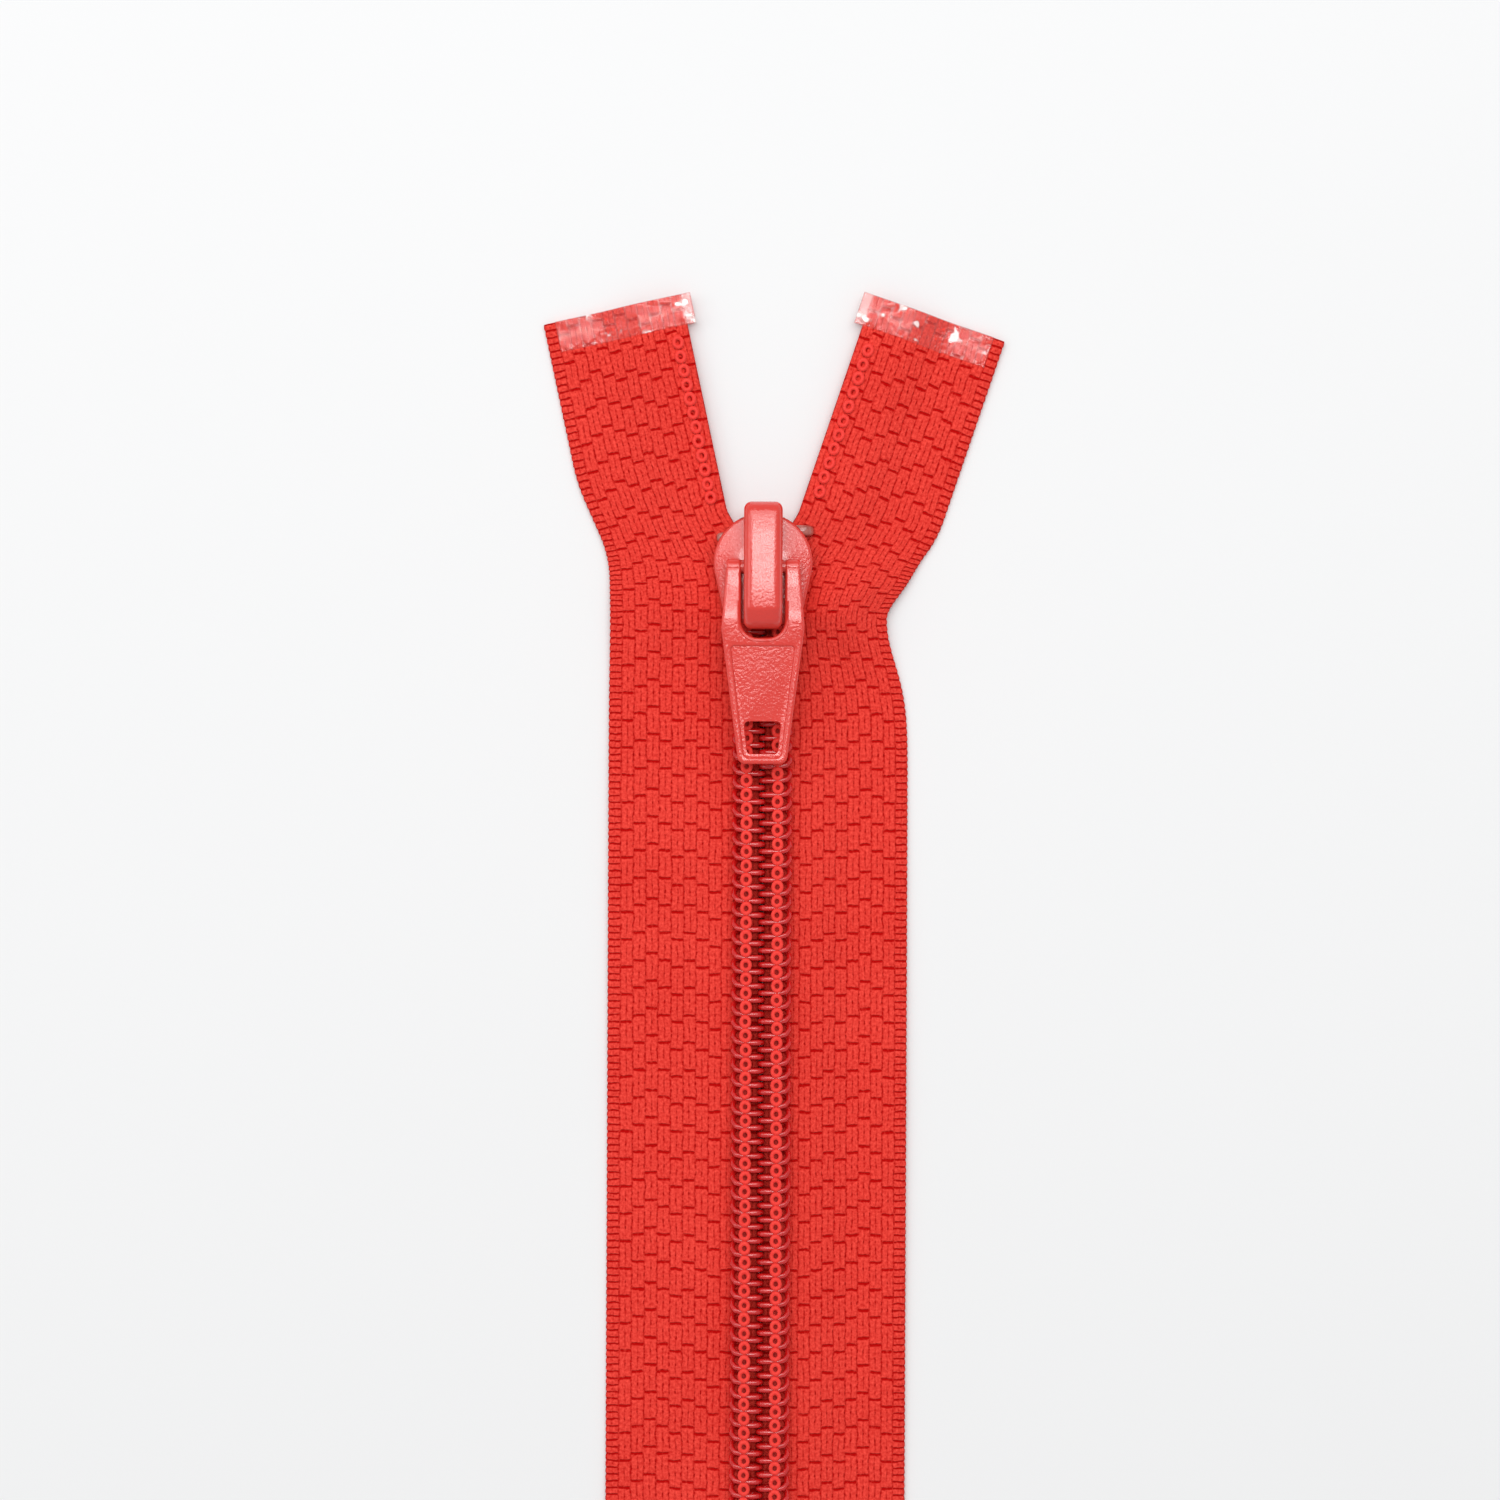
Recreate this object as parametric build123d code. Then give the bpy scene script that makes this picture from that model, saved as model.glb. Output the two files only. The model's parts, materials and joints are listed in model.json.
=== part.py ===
from build123d import *
import math
import os

# Open-end coil zipper, lying on its back with the slider run up to the top stops and the two
# tape ends above it spread in a V.
# Frame, in mm: the origin is on the table, on the chain's centre line, at the retainer box's
# bottom end. +Y runs along the chain towards the top, +X to the right, +Z up off the table.
# Most pieces come in pairs. They are drawn at a distance u outwards from the centre line, and
# side is -1 for the left one and +1 for the right one.

os.makedirs("parts", exist_ok=True)

# Woven tapes
overall_length = 205.0     # box end to the top cut, at the chain
tape_start = 1.3           # the tapes' bottom cut, above the box's floor
tape_width = 15.8
tape_thick = 0.6
tape_gap = 0.4             # between the two inner edges
ramp_near = 5.7            # the tape leaves the chain's level this far from its inner edge
ramp_far = 9.3             # and lies on the table from here outwards
tape_tail = 25.4           # tape beyond the end of the coil

# Coil: one round filament a side, wound in flattened turns
pitch = 1.5
wire_radius = 0.31
coil_drop = 1.43           # between the centres of a turn's upper and lower limbs
coil_reach = 3.3           # centre line to the turns' outer ends
head_overlap = 0.45        # the heads pass the centre line by this much
cord_radius = 0.37
stitch_line = 1.65         # centre line to the row of stitches
needle_thread = 0.25
looper_thread = 0.25
stitch_width = 1.3
stitch_hole = 0.3          # radius of the eye in each stitch

# Clear reinforcing film, pressed into the cloth until its face is level with the tape's
film_thick = 0.1
film_height = 3.2          # strip on the tapes' top ends
film_inset = 1.3           # in from the outer selvedge
film_tab = 1.0             # past the inner edge

# Slider
slider_length = 11.75
head_margin = 1.95         # of the round head, beyond the closed coils
flange_wall = 0.65         # at the rear edge
lower_wing = 0.75
upper_wing = 0.95
flange_lip = 0.2           # the lower wing's low rim
running_gap = 0.1          # round the coil, the threads and the tape
flange_gap = 0.15
flange_end = 6.3           # the flanges stop here, and the two mouths open
wing_bevel = 0.2           # lower wing's bottom edge
wing_round = 0.35          # upper wing's top edge
rear_round = 0.8           # both wings' rear corners
lug_height = 1.7
lug_gap = 0.1              # between the lugs and the cap's walls
front_lug_place = 1.3      # back from the slider's front
front_lug_length = 1.6
rear_lug_place = 1.1
rear_lug_length = 0.9
slot_place = 2.8           # hole in the upper wing for the lock's pawl
slot_length = 1.4
slot_width = 1.6
wedge_tail = 4.4           # from where the coils begin to part to the wedge's sharp end
wedge_front = 1.3          # back from the slider's front to the wedge's widest place
wedge_nose = 0.25          # back from the slider's front to its blunt tip
wedge_least = 0.12         # half its width at the sharp end
rear_overlap = 9.7         # from the slider's rear edge to the end of the coil, run up
open_from = 2.6            # rear edge to where the two coils begin to part
steep_angle = 30.0         # of the channels beside the wedge
turn_radius = 12.0         # of the coils as they part
mouth_radius = 3.0         # of the tape ends' inner edges as they leave the slider

# Cap, lock and pull
cap_width = 4.06
cap_length = 13.4
cap_rear = -0.6            # past the slider's rear edge
cap_wall = 0.7
cap_roof = 0.95
cap_corner = 0.9           # its corners, seen from above
cap_end_round = 2.0        # its ends, seen from the side
cap_side_round = 0.7       # along its long edges
cap_seat = 0.3             # from the slider's rear edge to where it stands on the wing
cap_step = 0.55            # height of its rear end above the wing
hollow_start = 0.5
bar_room = 2.2             # length of the side openings for the pull's bar
bar_headroom = 0.25
pivot_place = 6.0          # from the slider's rear edge
pull_thick = 1.6
pull_length = 20.8         # pivot to the free end
pull_gap = 0.05            # between the pull's eye and the upper wing
pull_wide = 4.4            # half its width at the shoulders
shoulder_place = 6.5       # pivot to the shoulders
pull_narrow = 2.55         # half its width at the free end
pull_round = 0.35          # round its top face
pull_corner = 0.9
eye_gap = 0.27             # between the eye and the cap's sides
eye_depth = 7.5            # pivot to the bottom of the eye
eye_corner = 1.75
bar_half = 3.9
panel_sunk = 0.2
panel_wide = 3.2           # half its width at the eye's end
panel_narrow = 2.35
panel_gap = 0.9            # from the eye's bottom to the panel
panel_end = 5.2            # from the free end
window_start = 4.5         # from the free end
window_end = 1.1
window_wide = 1.95
window_narrow = 1.6
window_corner = 0.5
leaf_thick = 0.3
leaf_width = 2.2
leaf_rear = 2.4            # from the slider's rear edge
leaf_front = 1.6           # back from the cap's front
leaf_gap = 0.28            # above the pull's eye
leaf_spare = 0.07          # under the cap's roof when it is lifted
pawl_width = 1.2
pawl_length = 0.6
lock_lift = 0.6

# Top stops
stop_length = 1.2
stop_inset = 0.3           # from the tape's inner edge
stop_corner = 0.3

# Bottom end
box_height = 7.0
box_half = 4.0
box_floor = 1.2
box_roof = 0.5
box_corner = 0.8
box_edge = 0.5
pin_end = 12.5             # the pins' upper ends, where each half can swing out
pin_half = 1.6             # centre line to the pins' outer faces
pin_gap = 0.1
pin_cheek = 0.1            # thickness under the tape

# Levels, from the table up
tape_level = 0.0
chain_back = lower_wing + looper_thread + running_gap
chain_face = chain_back + tape_thick
coil_low = chain_face + wire_radius
coil_high = coil_low + coil_drop
coil_top = coil_high + wire_radius
stitch_top = coil_top + needle_thread
ceiling = stitch_top + running_gap
wing_top = ceiling + upper_wing
pivot_level = wing_top + pull_gap + pull_thick / 2
leaf_level = pivot_level + pull_thick / 2 + leaf_gap
cap_top = leaf_level + leaf_thick + lock_lift + leaf_spare + cap_roof
back_film = tape_level
front_film = tape_level + tape_thick - film_thick
rise = chain_back - tape_level

# Places along the chain
chain_top = overall_length - tape_tail
slider_rear = chain_top - rear_overlap
chain_open = slider_rear + open_from
slider_front = slider_rear + slider_length
past_cut = overall_length + 6

LEFT, RIGHT = -1, 1
NAMES = {LEFT: "left", RIGHT: "right"}
# Each tape end above the slider: its lean, and its outer edge's bend. That starts this far above
# the place where the coils part, on a first radius to its steepest angle, keeps to it up to its
# full run, and eases back to the lean on a second radius.
lean_angle = {LEFT: 12.2, RIGHT: 18.6}
bend_start = {LEFT: 2.0, RIGHT: 0.5}
bend_angle = {LEFT: 24.0, RIGHT: 35.0}
bend_run = {LEFT: 8.5, RIGHT: 4.6}
bend_radius = {LEFT: 12.0, RIGHT: 8.0}
ease_radius = {LEFT: 20.0, RIGHT: 14.0}
inner_edge = tape_gap / 2
outer_edge = inner_edge + tape_width
film_outer = outer_edge - film_inset
slider_head_radius = coil_reach + head_margin
slider_rear_width = 2 * (coil_reach + flange_gap + flange_wall)
eye_width = cap_width + 2 * eye_gap
box = Align.MIN, Align.MIN, Align.MIN


def spread(y, start, steep, mouth, final, turn, back):
    """Distance u added at y to an edge that leaves the chain at start on an arc of radius turn,
    runs on at the angle steep up to mouth, and eases back on the radius back to the angle final."""
    steep, final = math.radians(steep), math.radians(final)
    if y <= start:
        return 0.0
    turn_end = start + turn * math.sin(steep)
    if y <= turn_end:
        return turn - math.sqrt(turn**2 - (y - start) ** 2)
    at_mouth = turn * (1 - math.cos(steep)) + (mouth - turn_end) * math.tan(steep)
    if y <= mouth:
        return at_mouth - (mouth - y) * math.tan(steep)
    back_end = mouth + back * (math.sin(steep) - math.sin(final))
    if y <= back_end:
        sine = math.sin(steep) - (y - mouth) / back
        return at_mouth + back * (math.sqrt(1 - sine**2) - math.cos(steep))
    eased = back * (math.cos(final) - math.cos(steep))
    return at_mouth + eased + (y - back_end) * math.tan(final)


def inner_spread(y, side):
    """How far the inner edge, and the coil sewn to it, stands out from its closed place at y."""
    lean = lean_angle[side]
    return spread(y, chain_open, steep_angle, slider_front, lean, turn_radius, mouth_radius)


def outer_spread(y, side):
    """The same for the outer selvedge, whose bend is its own."""
    start = chain_open + bend_start[side]
    return spread(
        y,
        start,
        bend_angle[side],
        start + bend_run[side],
        lean_angle[side],
        bend_radius[side],
        ease_radius[side],
    )


def stations(low, high):
    """Places along Y for the sections of a piece: its ends, and every millimetre of the bends."""
    first, last = math.ceil(chain_open), math.ceil(slider_front + 8)
    inside = [y for y in (chain_open, *range(first, last)) if low < y < high]
    return [low, *inside, high]


def lofted(side, low, high, outline):
    """Straight-sided solid through the outlines (u, z) that outline(y) gives at each station."""
    sections = []
    for y in stations(low, high):
        corners = [(side * u, y, z) for u, z in outline(y)]
        sections.append(make_face(Polyline(*corners, close=True)))
    return loft(sections, ruled=True)


def layer(side, low, high, bottom, thick, inner, outer):
    """A layer of cloth or film with the tape's shape across: flat on the table outside, raised to
    the chain's level inside. inner and outer are its edges in the closed chain."""

    def outline(y):
        shift = inner_spread(y, side)
        near, far = inner_edge + ramp_near + shift, inner_edge + ramp_far + shift
        start, end = inner + shift, outer + outer_spread(y, side)
        under = [(end, bottom), (far, bottom), (near, bottom + rise), (start, bottom + rise)]
        return under + [(u, z + thick) for u, z in reversed(under)]

    return lofted(side, low, high, outline)


def above_cut(side, down):
    """Plane square to the leaning tape end, this far down from its top cut, facing the top."""
    lean = math.radians(lean_angle[side])
    corner = inner_edge + inner_spread(overall_length, side)
    outwards, along = side * math.sin(lean), math.cos(lean)
    start = (side * corner - down * outwards, overall_length - down * along, 0)
    return Plane(origin=start, z_dir=(outwards, along, 0))


def top_film(side, level):
    """Film strip across the tape's top end, ending in a clear tab past the inner edge."""
    inner = inner_edge - film_tab
    whole = layer(side, slider_front, past_cut, level, film_thick, inner, film_outer)
    lower = split(whole, bisect_by=above_cut(side, 0), keep=Keep.BOTTOM)
    return split(lower, bisect_by=above_cut(side, film_height), keep=Keep.TOP)


def bottom_film(side, level):
    """Film over the tape's lower end, outside the pin."""
    inner, high = pin_half + 2 * pin_gap, pin_end - film_thick
    return layer(side, tape_start, high, level, film_thick, inner, film_outer)


def tape(side):
    """Woven tape, from the pins' upper ends to the top cut, pressed thinner under the film."""
    whole = layer(side, pin_end, past_cut, tape_level, tape_thick, inner_edge, outer_edge)
    cut = split(whole, bisect_by=above_cut(side, 0), keep=Keep.BOTTOM)
    return cut - top_film(side, front_film) - top_film(side, back_film)


def tape_end(side):
    """The tape's stiffened lower end, which the box and the pins hold."""
    whole = layer(side, tape_start, pin_end, tape_level, tape_thick, inner_edge, outer_edge)
    return whole - bottom_film(side, front_film) - bottom_film(side, back_film)


def coil_turn(side, y, last=False):
    """One turn: the lower limb in, the head, the upper limb out, and the bend to the next turn."""
    shift, above = inner_spread(y, side), inner_spread(y + pitch, side)
    below = inner_spread(y - pitch, side)
    head_radius = coil_drop / 2
    loop_radius = math.hypot(pitch, coil_drop) / 2
    head = wire_radius + head_radius - head_overlap + shift
    bend = coil_reach - wire_radius - loop_radius
    start, end = bend + max(shift, below), bend + max(shift, above)
    middle = (coil_low + coil_high) / 2

    def place(u, along, level):
        return (side * u, along, level)

    path = [
        Line(place(start, y, coil_low), place(head, y, coil_low)),
        ThreePointArc(
            place(head, y, coil_low), place(head - head_radius, y, middle), place(head, y, coil_high)
        ),
        Line(place(head, y, coil_high), place(end, y, coil_high)),
    ]
    if not last:
        path.append(
            ThreePointArc(
                place(end, y, coil_high),
                place(end + loop_radius, y + pitch / 2, middle),
                place(end, y + pitch, coil_low),
            )
        )
    start_plane = Plane(origin=place(start, y, coil_low), z_dir=(-side, 0, 0))
    return sweep(start_plane * Circle(wire_radius), path=Wire(path))


def turn_places(side):
    """Where the turns stand: the right coil's lie half a pitch above the left one's."""
    first = pin_end + wire_radius + 3 * running_gap + (pitch / 2 if side == RIGHT else 0)
    count = int((chain_top - first) / pitch)
    return [first + n * pitch for n in range(count + 1)]


def coil(side):
    """Filament coil: turns face to face, straight in the closed chain and parting in the slider."""
    places = turn_places(side)
    closed = coil_turn(side, places[0])
    turns = []
    for y in places:
        if y + pitch <= chain_open:
            turns.append(Pos(0, y - places[0], 0) * closed)
        else:
            turns.append(coil_turn(side, y, last=y == places[-1]))
    return turns


def core_cord(side):
    """Cord that runs inside the coil's turns, under the stitches."""
    steep = math.radians(steep_angle)
    turn_end = chain_open + turn_radius * math.sin(steep)
    top = turn_places(side)[-1]
    middle = (coil_low + coil_high) / 2

    def place(y):
        return (side * (stitch_line + inner_spread(y, side)), y, middle)

    low = turn_places(side)[0] - wire_radius
    along = (0, 1, 0)
    path = [
        Line(place(low), place(chain_open)),
        TangentArc(place(chain_open), place(turn_end), tangent=along),
        Line(place(turn_end), place(top)),
    ]
    start = Plane(origin=place(low), z_dir=along)
    return sweep(start * Circle(cord_radius), path=Wire(path))


def needle_row(side):
    """Row of stitches over the coil, one eye to each turn, carried on up the bare tape end."""
    cut = above_cut(side, film_height + stitch_width)
    eye = Ellipse(stitch_width / 2, pitch / 2 - running_gap / 4) - Circle(stitch_hole)
    stitch = extrude(eye, needle_thread)
    places = turn_places(side)
    stitches = []
    count = int((overall_length - places[0]) / pitch)
    for n in range(count):
        y = places[0] + (n + 0.5) * pitch
        u = stitch_line + inner_spread(y, side)
        on_coil = y + pitch / 2 <= places[-1]
        on_tape = y - pitch > chain_top + pitch
        inside = cut.to_local_coords(Vector(side * u, y, 0)).Z < 0
        if on_coil or (on_tape and inside):
            level = coil_top if on_coil else chain_face
            stitches.append(Pos(side * u, y, level) * stitch)
    return stitches


def looper_row(side):
    """Looper thread along the tape's back, under the same stitches."""
    half = stitch_width / 4
    top = overall_length - film_height - pitch - 3 * stitch_width

    def outline(y):
        shift = stitch_line + inner_spread(y, side)
        low, high = chain_back - looper_thread, chain_back
        return [
            (shift - half, low), (shift + half, low), (shift + half, high), (shift - half, high)
        ]

    return lofted(side, pin_end + running_gap, top, outline)


def top_stop(side):
    """Small moulded stop that ends the coil and that the slider runs up against."""
    places = turn_places(side)
    low = places[-1] + wire_radius + running_gap
    shift = inner_spread(low, side)
    near, far = inner_edge + shift + stop_inset, coil_reach + shift
    corners = [(near, chain_face), (far, chain_face), (far, coil_high), (near, coil_high)]
    face = make_face(Polyline(*[(side * u, low, z) for u, z in corners], close=True))
    body = extrude(face, amount=stop_length, dir=(0, 1, 0))
    return fillet(body.edges().filter_by(Axis.Z), stop_corner)


def wing_plan():
    """Outline of both wings: a round head, drawn in to a narrower rear edge."""
    head = Pos(0, slider_length - slider_head_radius) * Circle(slider_head_radius)
    rear = Pos(0, 1.25 * rear_round) * Rectangle(slider_rear_width, 2.5 * rear_round)
    rear = fillet(rear.vertices(), rear_round)
    return make_hull([*head.edges(), *rear.edges()])


def channel(low, high):
    """Room inside the flanges for the chain and, further up, for the two parting coils, whose
    turns reach out to the next one's place."""
    side_gap = coil_reach + flange_gap
    places = [-1.0, open_from - pitch, *[open_from - pitch + n for n in range(1, 12)]]
    right = [(side_gap + inner_spread(slider_rear + y + pitch, LEFT), y) for y in places]
    left = [(-u, y) for u, y in reversed(right)]
    return Pos(0, 0, low) * extrude(make_face(Polyline(*right, *left, close=True)), high - low)


def wedge():
    """Wedge that joins the wings and parts the coils, with clearance to the heads beside it."""
    tail = open_from + wedge_tail
    front = slider_length - wedge_front
    places = [tail + (front - tail) * n / 4 for n in range(5)]
    clear = head_overlap + 1.5 * running_gap

    def half(y):
        return inner_spread(slider_rear + y - 2 * wire_radius, LEFT) - clear

    right = [(max(half(y), wedge_least), y) for y in places]
    nose = (0, slider_length - wedge_nose)
    left = [(-u, y) for u, y in reversed(right)]
    outline = make_face(Polyline(*right, nose, *left, close=True))
    return Pos(0, 0, lower_wing) * extrude(outline, ceiling - lower_wing)


def slider_body():
    """Die-cast body: lower and upper wings, flanges, wedge, cap lugs and the lock's slot."""
    plan = wing_plan()
    lower = extrude(plan, lower_wing)
    lower = chamfer(lower.faces().sort_by(Axis.Z)[0].edges(), wing_bevel)
    upper = Pos(0, 0, ceiling) * extrude(plan, upper_wing)
    upper = fillet(upper.faces().sort_by(Axis.Z)[-1].edges(), wing_round)
    flange_low = chain_face + flange_gap
    keep = Pos(-slider_head_radius, 0, 0) * Box(
        2 * slider_head_radius, flange_end, wing_top, align=box
    )
    rim = Pos(0, 0, flange_low) * extrude(plan, ceiling - flange_low)
    rim = (rim - channel(flange_low - 1, ceiling + 1)) & keep
    lip = Pos(0, 0, lower_wing) * extrude(plan, flange_lip)
    lip = (lip - channel(lower_wing - 1, ceiling + 1)) & keep
    lug_width = cap_width - 2 * (cap_wall + lug_gap)
    front_place = slider_length - front_lug_place
    front_lug = Pos(0, front_place, wing_top) * Box(lug_width, front_lug_length, lug_height)
    rear_lug = Pos(0, rear_lug_place, wing_top) * Box(lug_width, rear_lug_length, lug_height)
    slot = Pos(0, slot_place, ceiling) * Box(slot_width, slot_length, 4 * upper_wing)
    whole = lower + upper + rim + lip + wedge() + front_lug + rear_lug - slot
    return Pos(0, slider_rear, 0) * whole


def slider_cap():
    """Pressed cap over the lugs: a long rounded bridge, hollow for the lock, with side openings
    for the pull's bar."""
    front = cap_rear + cap_length
    rear_foot = wing_top + cap_step
    profile = Polyline(
        (0, front, wing_top),
        (0, front, cap_top),
        (0, cap_rear, cap_top),
        (0, cap_rear, rear_foot),
        (0, cap_seat, rear_foot),
        (0, cap_seat, wing_top),
        close=True,
    )
    side_face = make_face(profile)
    shell = Pos(-cap_width / 2, 0, 0) * extrude(side_face, amount=cap_width, dir=(1, 0, 0))
    shell = fillet(shell.edges().filter_by(Axis.X).group_by(Axis.Z)[-1], cap_end_round)
    rims = [
        e
        for e in shell.edges()
        if abs(e.center().X) > 0.49 * cap_width and e.center().Z > cap_top - 0.95 * cap_end_round
    ]
    shell = fillet(rims, cap_side_round)
    plan = Pos(0, cap_rear + cap_length / 2) * RectangleRounded(cap_width, cap_length, cap_corner)
    shell = shell & extrude(plan, cap_top)
    inner, inner_end = cap_width - 2 * cap_wall, front - cap_wall
    hollow = Pos(-inner / 2, hollow_start, 0) * Box(
        inner, inner_end - hollow_start, cap_top - cap_roof, align=box
    )
    bar = Pos(-cap_width, pivot_place - bar_room / 2, 0) * Box(
        2 * cap_width, bar_room, pivot_level + pull_thick / 2 + bar_headroom, align=box
    )
    return Pos(0, slider_rear, 0) * (shell - hollow - bar)


def lock_spring():
    """Leaf spring under the cap, its rear end turned down through the wing as the locking pawl."""
    length = cap_rear + cap_length - leaf_front - leaf_rear
    leaf = Pos(-leaf_width / 2, leaf_rear, leaf_level) * Box(
        leaf_width, length, leaf_thick, align=box
    )
    tip = ceiling + running_gap
    pawl = Pos(-pawl_width / 2, leaf_rear, tip) * Box(
        pawl_width, pawl_length, leaf_level - tip + leaf_thick / 2, align=box
    )
    return Pos(0, slider_rear, 0) * (leaf + pawl)


def pull_tab():
    """Die-cast pull: pivot bar and eye, a plate that tapers to the free end, a sunk panel framed by
    a rim, and a window near the end."""
    level = pivot_level - pull_thick / 2
    end, shoulder = pivot_place - pull_length, pivot_place - shoulder_place
    right = [(pull_narrow, end), (pull_wide, shoulder), (bar_half, pivot_place)]
    outline = make_face(Polyline(*right, *[(-x, y) for x, y in reversed(right)], close=True))
    outline = fillet(outline.vertices().group_by(Axis.Y)[0], pull_corner)
    plate = Pos(0, 0, level) * extrude(outline, pull_thick)
    rim = plate.faces().sort_by(Axis.Z)[-1].edges()
    plate = fillet(rim.filter_by_position(Axis.Y, end - 1, pivot_place - 0.1), pull_round)
    bar = Pos(0, pivot_place, pivot_level) * Rot(0, 90, 0) * Cylinder(pull_thick / 2, 2 * bar_half)
    eye_bottom = pivot_place - eye_depth
    eye_middle = (pivot_place + eye_bottom) / 2
    eye_plan = Pos(0, eye_middle) * Rectangle(eye_width, eye_depth)
    eye_plan = fillet(eye_plan.vertices().group_by(Axis.Y)[0], eye_corner)
    eye = Pos(0, 0, level - 1) * extrude(eye_plan, pull_thick + 2)

    def tapered(top, top_half, low, low_half):
        """Face that tapers towards the free end, between two places along the pull."""
        corners = [(-top_half, top), (-low_half, low), (low_half, low), (top_half, top)]
        return make_face(Polyline(*corners, close=True))

    panel = tapered(eye_bottom - panel_gap, panel_wide, end + panel_end, panel_narrow)
    panel = Pos(0, 0, level + pull_thick - panel_sunk) * extrude(panel, 1)
    window = tapered(end + window_start, window_wide, end + window_end, window_narrow)
    window = fillet(window.vertices(), window_corner)
    window = Pos(0, 0, level - 1) * extrude(window, pull_thick + 2)
    return Pos(0, slider_rear, 0) * ((plate - eye) + bar - panel - window)


def pin(side):
    """Stiff pin that ends the chain, gripping the tape's inner edge. Its upper end is round about
    the line on which that half swings."""
    low, high = chain_back - pin_cheek, coil_high
    near, far = pin_gap / 2, pin_half
    start = tape_start + running_gap
    radius = (far - near) / 2
    middle = side * (near + far) / 2
    stem = Pos(middle, (start + pin_end - radius) / 2) * Rectangle(
        far - near, pin_end - radius - start
    )
    plan = stem + Pos(middle, pin_end - radius) * Circle(radius)
    body = Pos(0, 0, low) * extrude(plan, high - low)
    slot = Pos(side * (inner_edge + tape_width / 2), overall_length / 2, chain_back) * Box(
        tape_width, overall_length, tape_thick, align=(Align.CENTER, Align.CENTER, Align.MIN)
    )
    return body - slot


def retainer_box():
    """Box that holds both pins' lower ends: fixed to the right one, and open to let the left one
    slide in. The tapes pass through the slots in its sides."""
    top = coil_top + box_roof
    body = Pos(-box_half, 0, 0) * Box(2 * box_half, box_height, top, align=box)
    body = fillet(body.edges().filter_by(Axis.Z), box_corner)
    body = fillet(body.faces().sort_by(Axis.Z)[-1].edges(), box_edge)
    half = pin_half + pin_gap
    low, high = chain_back - pin_cheek - pin_gap / 2, coil_high + pin_gap
    well = Pos(-half, box_floor, low) * Box(2 * half, box_height, high - low, align=box)
    slit_high = chain_face + pin_gap
    slits = Pos(-2 * box_half, box_floor, low) * Box(
        4 * box_half, box_height, slit_high - low, align=box
    )
    return body - well - slits


def save(node, shape):
    """One node's file. A list holds separate solids of one piece or of one row."""
    whole = Compound(children=list(shape)) if isinstance(shape, list) else shape
    export_step(whole, f"parts/{node}.step")


for side, name in NAMES.items():
    save(f"tape_{name}", tape(side))
    save(f"tape_end_{name}", tape_end(side))
    save(f"coil_{name}", coil(side))
    save(f"core_cord_{name}", core_cord(side))
    save(f"needle_thread_{name}", needle_row(side))
    save(f"looper_thread_{name}", looper_row(side))
    save(f"top_stop_{name}", top_stop(side))
    save(f"top_film_{name}_front", top_film(side, front_film))
    save(f"top_film_{name}_back", top_film(side, back_film))
    save(f"bottom_film_{name}_front", bottom_film(side, front_film))
    save(f"bottom_film_{name}_back", bottom_film(side, back_film))
save("insertion_pin", pin(LEFT))
save("retainer_pin", pin(RIGHT))
save("retainer_box", retainer_box())
save("slider_body", slider_body())
save("slider_cap", slider_cap())
save("lock_spring", lock_spring())
save("pull_tab", pull_tab())
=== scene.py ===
import json
import math

import bmesh
import bpy
import numpy as np
from mathutils import Matrix, Vector


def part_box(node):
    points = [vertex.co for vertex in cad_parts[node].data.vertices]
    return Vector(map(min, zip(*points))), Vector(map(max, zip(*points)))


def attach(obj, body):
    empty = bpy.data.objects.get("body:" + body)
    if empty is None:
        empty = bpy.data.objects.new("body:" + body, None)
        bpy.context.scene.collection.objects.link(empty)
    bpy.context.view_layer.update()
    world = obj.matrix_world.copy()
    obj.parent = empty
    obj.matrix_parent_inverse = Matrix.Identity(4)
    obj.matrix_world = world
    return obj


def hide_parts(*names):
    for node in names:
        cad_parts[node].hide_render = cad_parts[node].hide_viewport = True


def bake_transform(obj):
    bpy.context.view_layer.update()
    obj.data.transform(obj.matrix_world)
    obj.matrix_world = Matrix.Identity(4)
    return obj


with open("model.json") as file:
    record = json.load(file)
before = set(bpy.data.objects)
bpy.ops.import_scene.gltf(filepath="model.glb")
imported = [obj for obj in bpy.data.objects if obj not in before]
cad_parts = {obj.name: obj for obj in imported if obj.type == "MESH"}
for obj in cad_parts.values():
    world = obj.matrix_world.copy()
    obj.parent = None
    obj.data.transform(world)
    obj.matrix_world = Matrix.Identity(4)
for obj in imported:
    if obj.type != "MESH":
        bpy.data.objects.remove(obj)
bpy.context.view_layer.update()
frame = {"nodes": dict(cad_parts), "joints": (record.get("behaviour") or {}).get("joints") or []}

# View of the zipper laid out flat: straight down on the slider and the spread tape ends, with
# the lower end of the chain running out of view.
mm = 0.001
chain_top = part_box("tape_left")[1].y
look_at = Vector((-1.3 * mm, chain_top - 48.4 * mm, 0))
view_width = 160 * mm
camera_roll = math.radians(0.25)
lens_data = bpy.data.cameras.new("camera")
lens_data.lens = 100
lens_data.sensor_width = 36
lens_data.clip_start = 0.01
camera = bpy.data.objects.new("camera", lens_data)
camera.location = look_at + Vector((0, 0, view_width * lens_data.lens / lens_data.sensor_width))
camera.rotation_euler = (0, 0, camera_roll)
bpy.context.collection.objects.link(camera)
bpy.context.scene.camera = camera
bpy.context.scene.view_settings.view_transform = "Standard"

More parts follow.
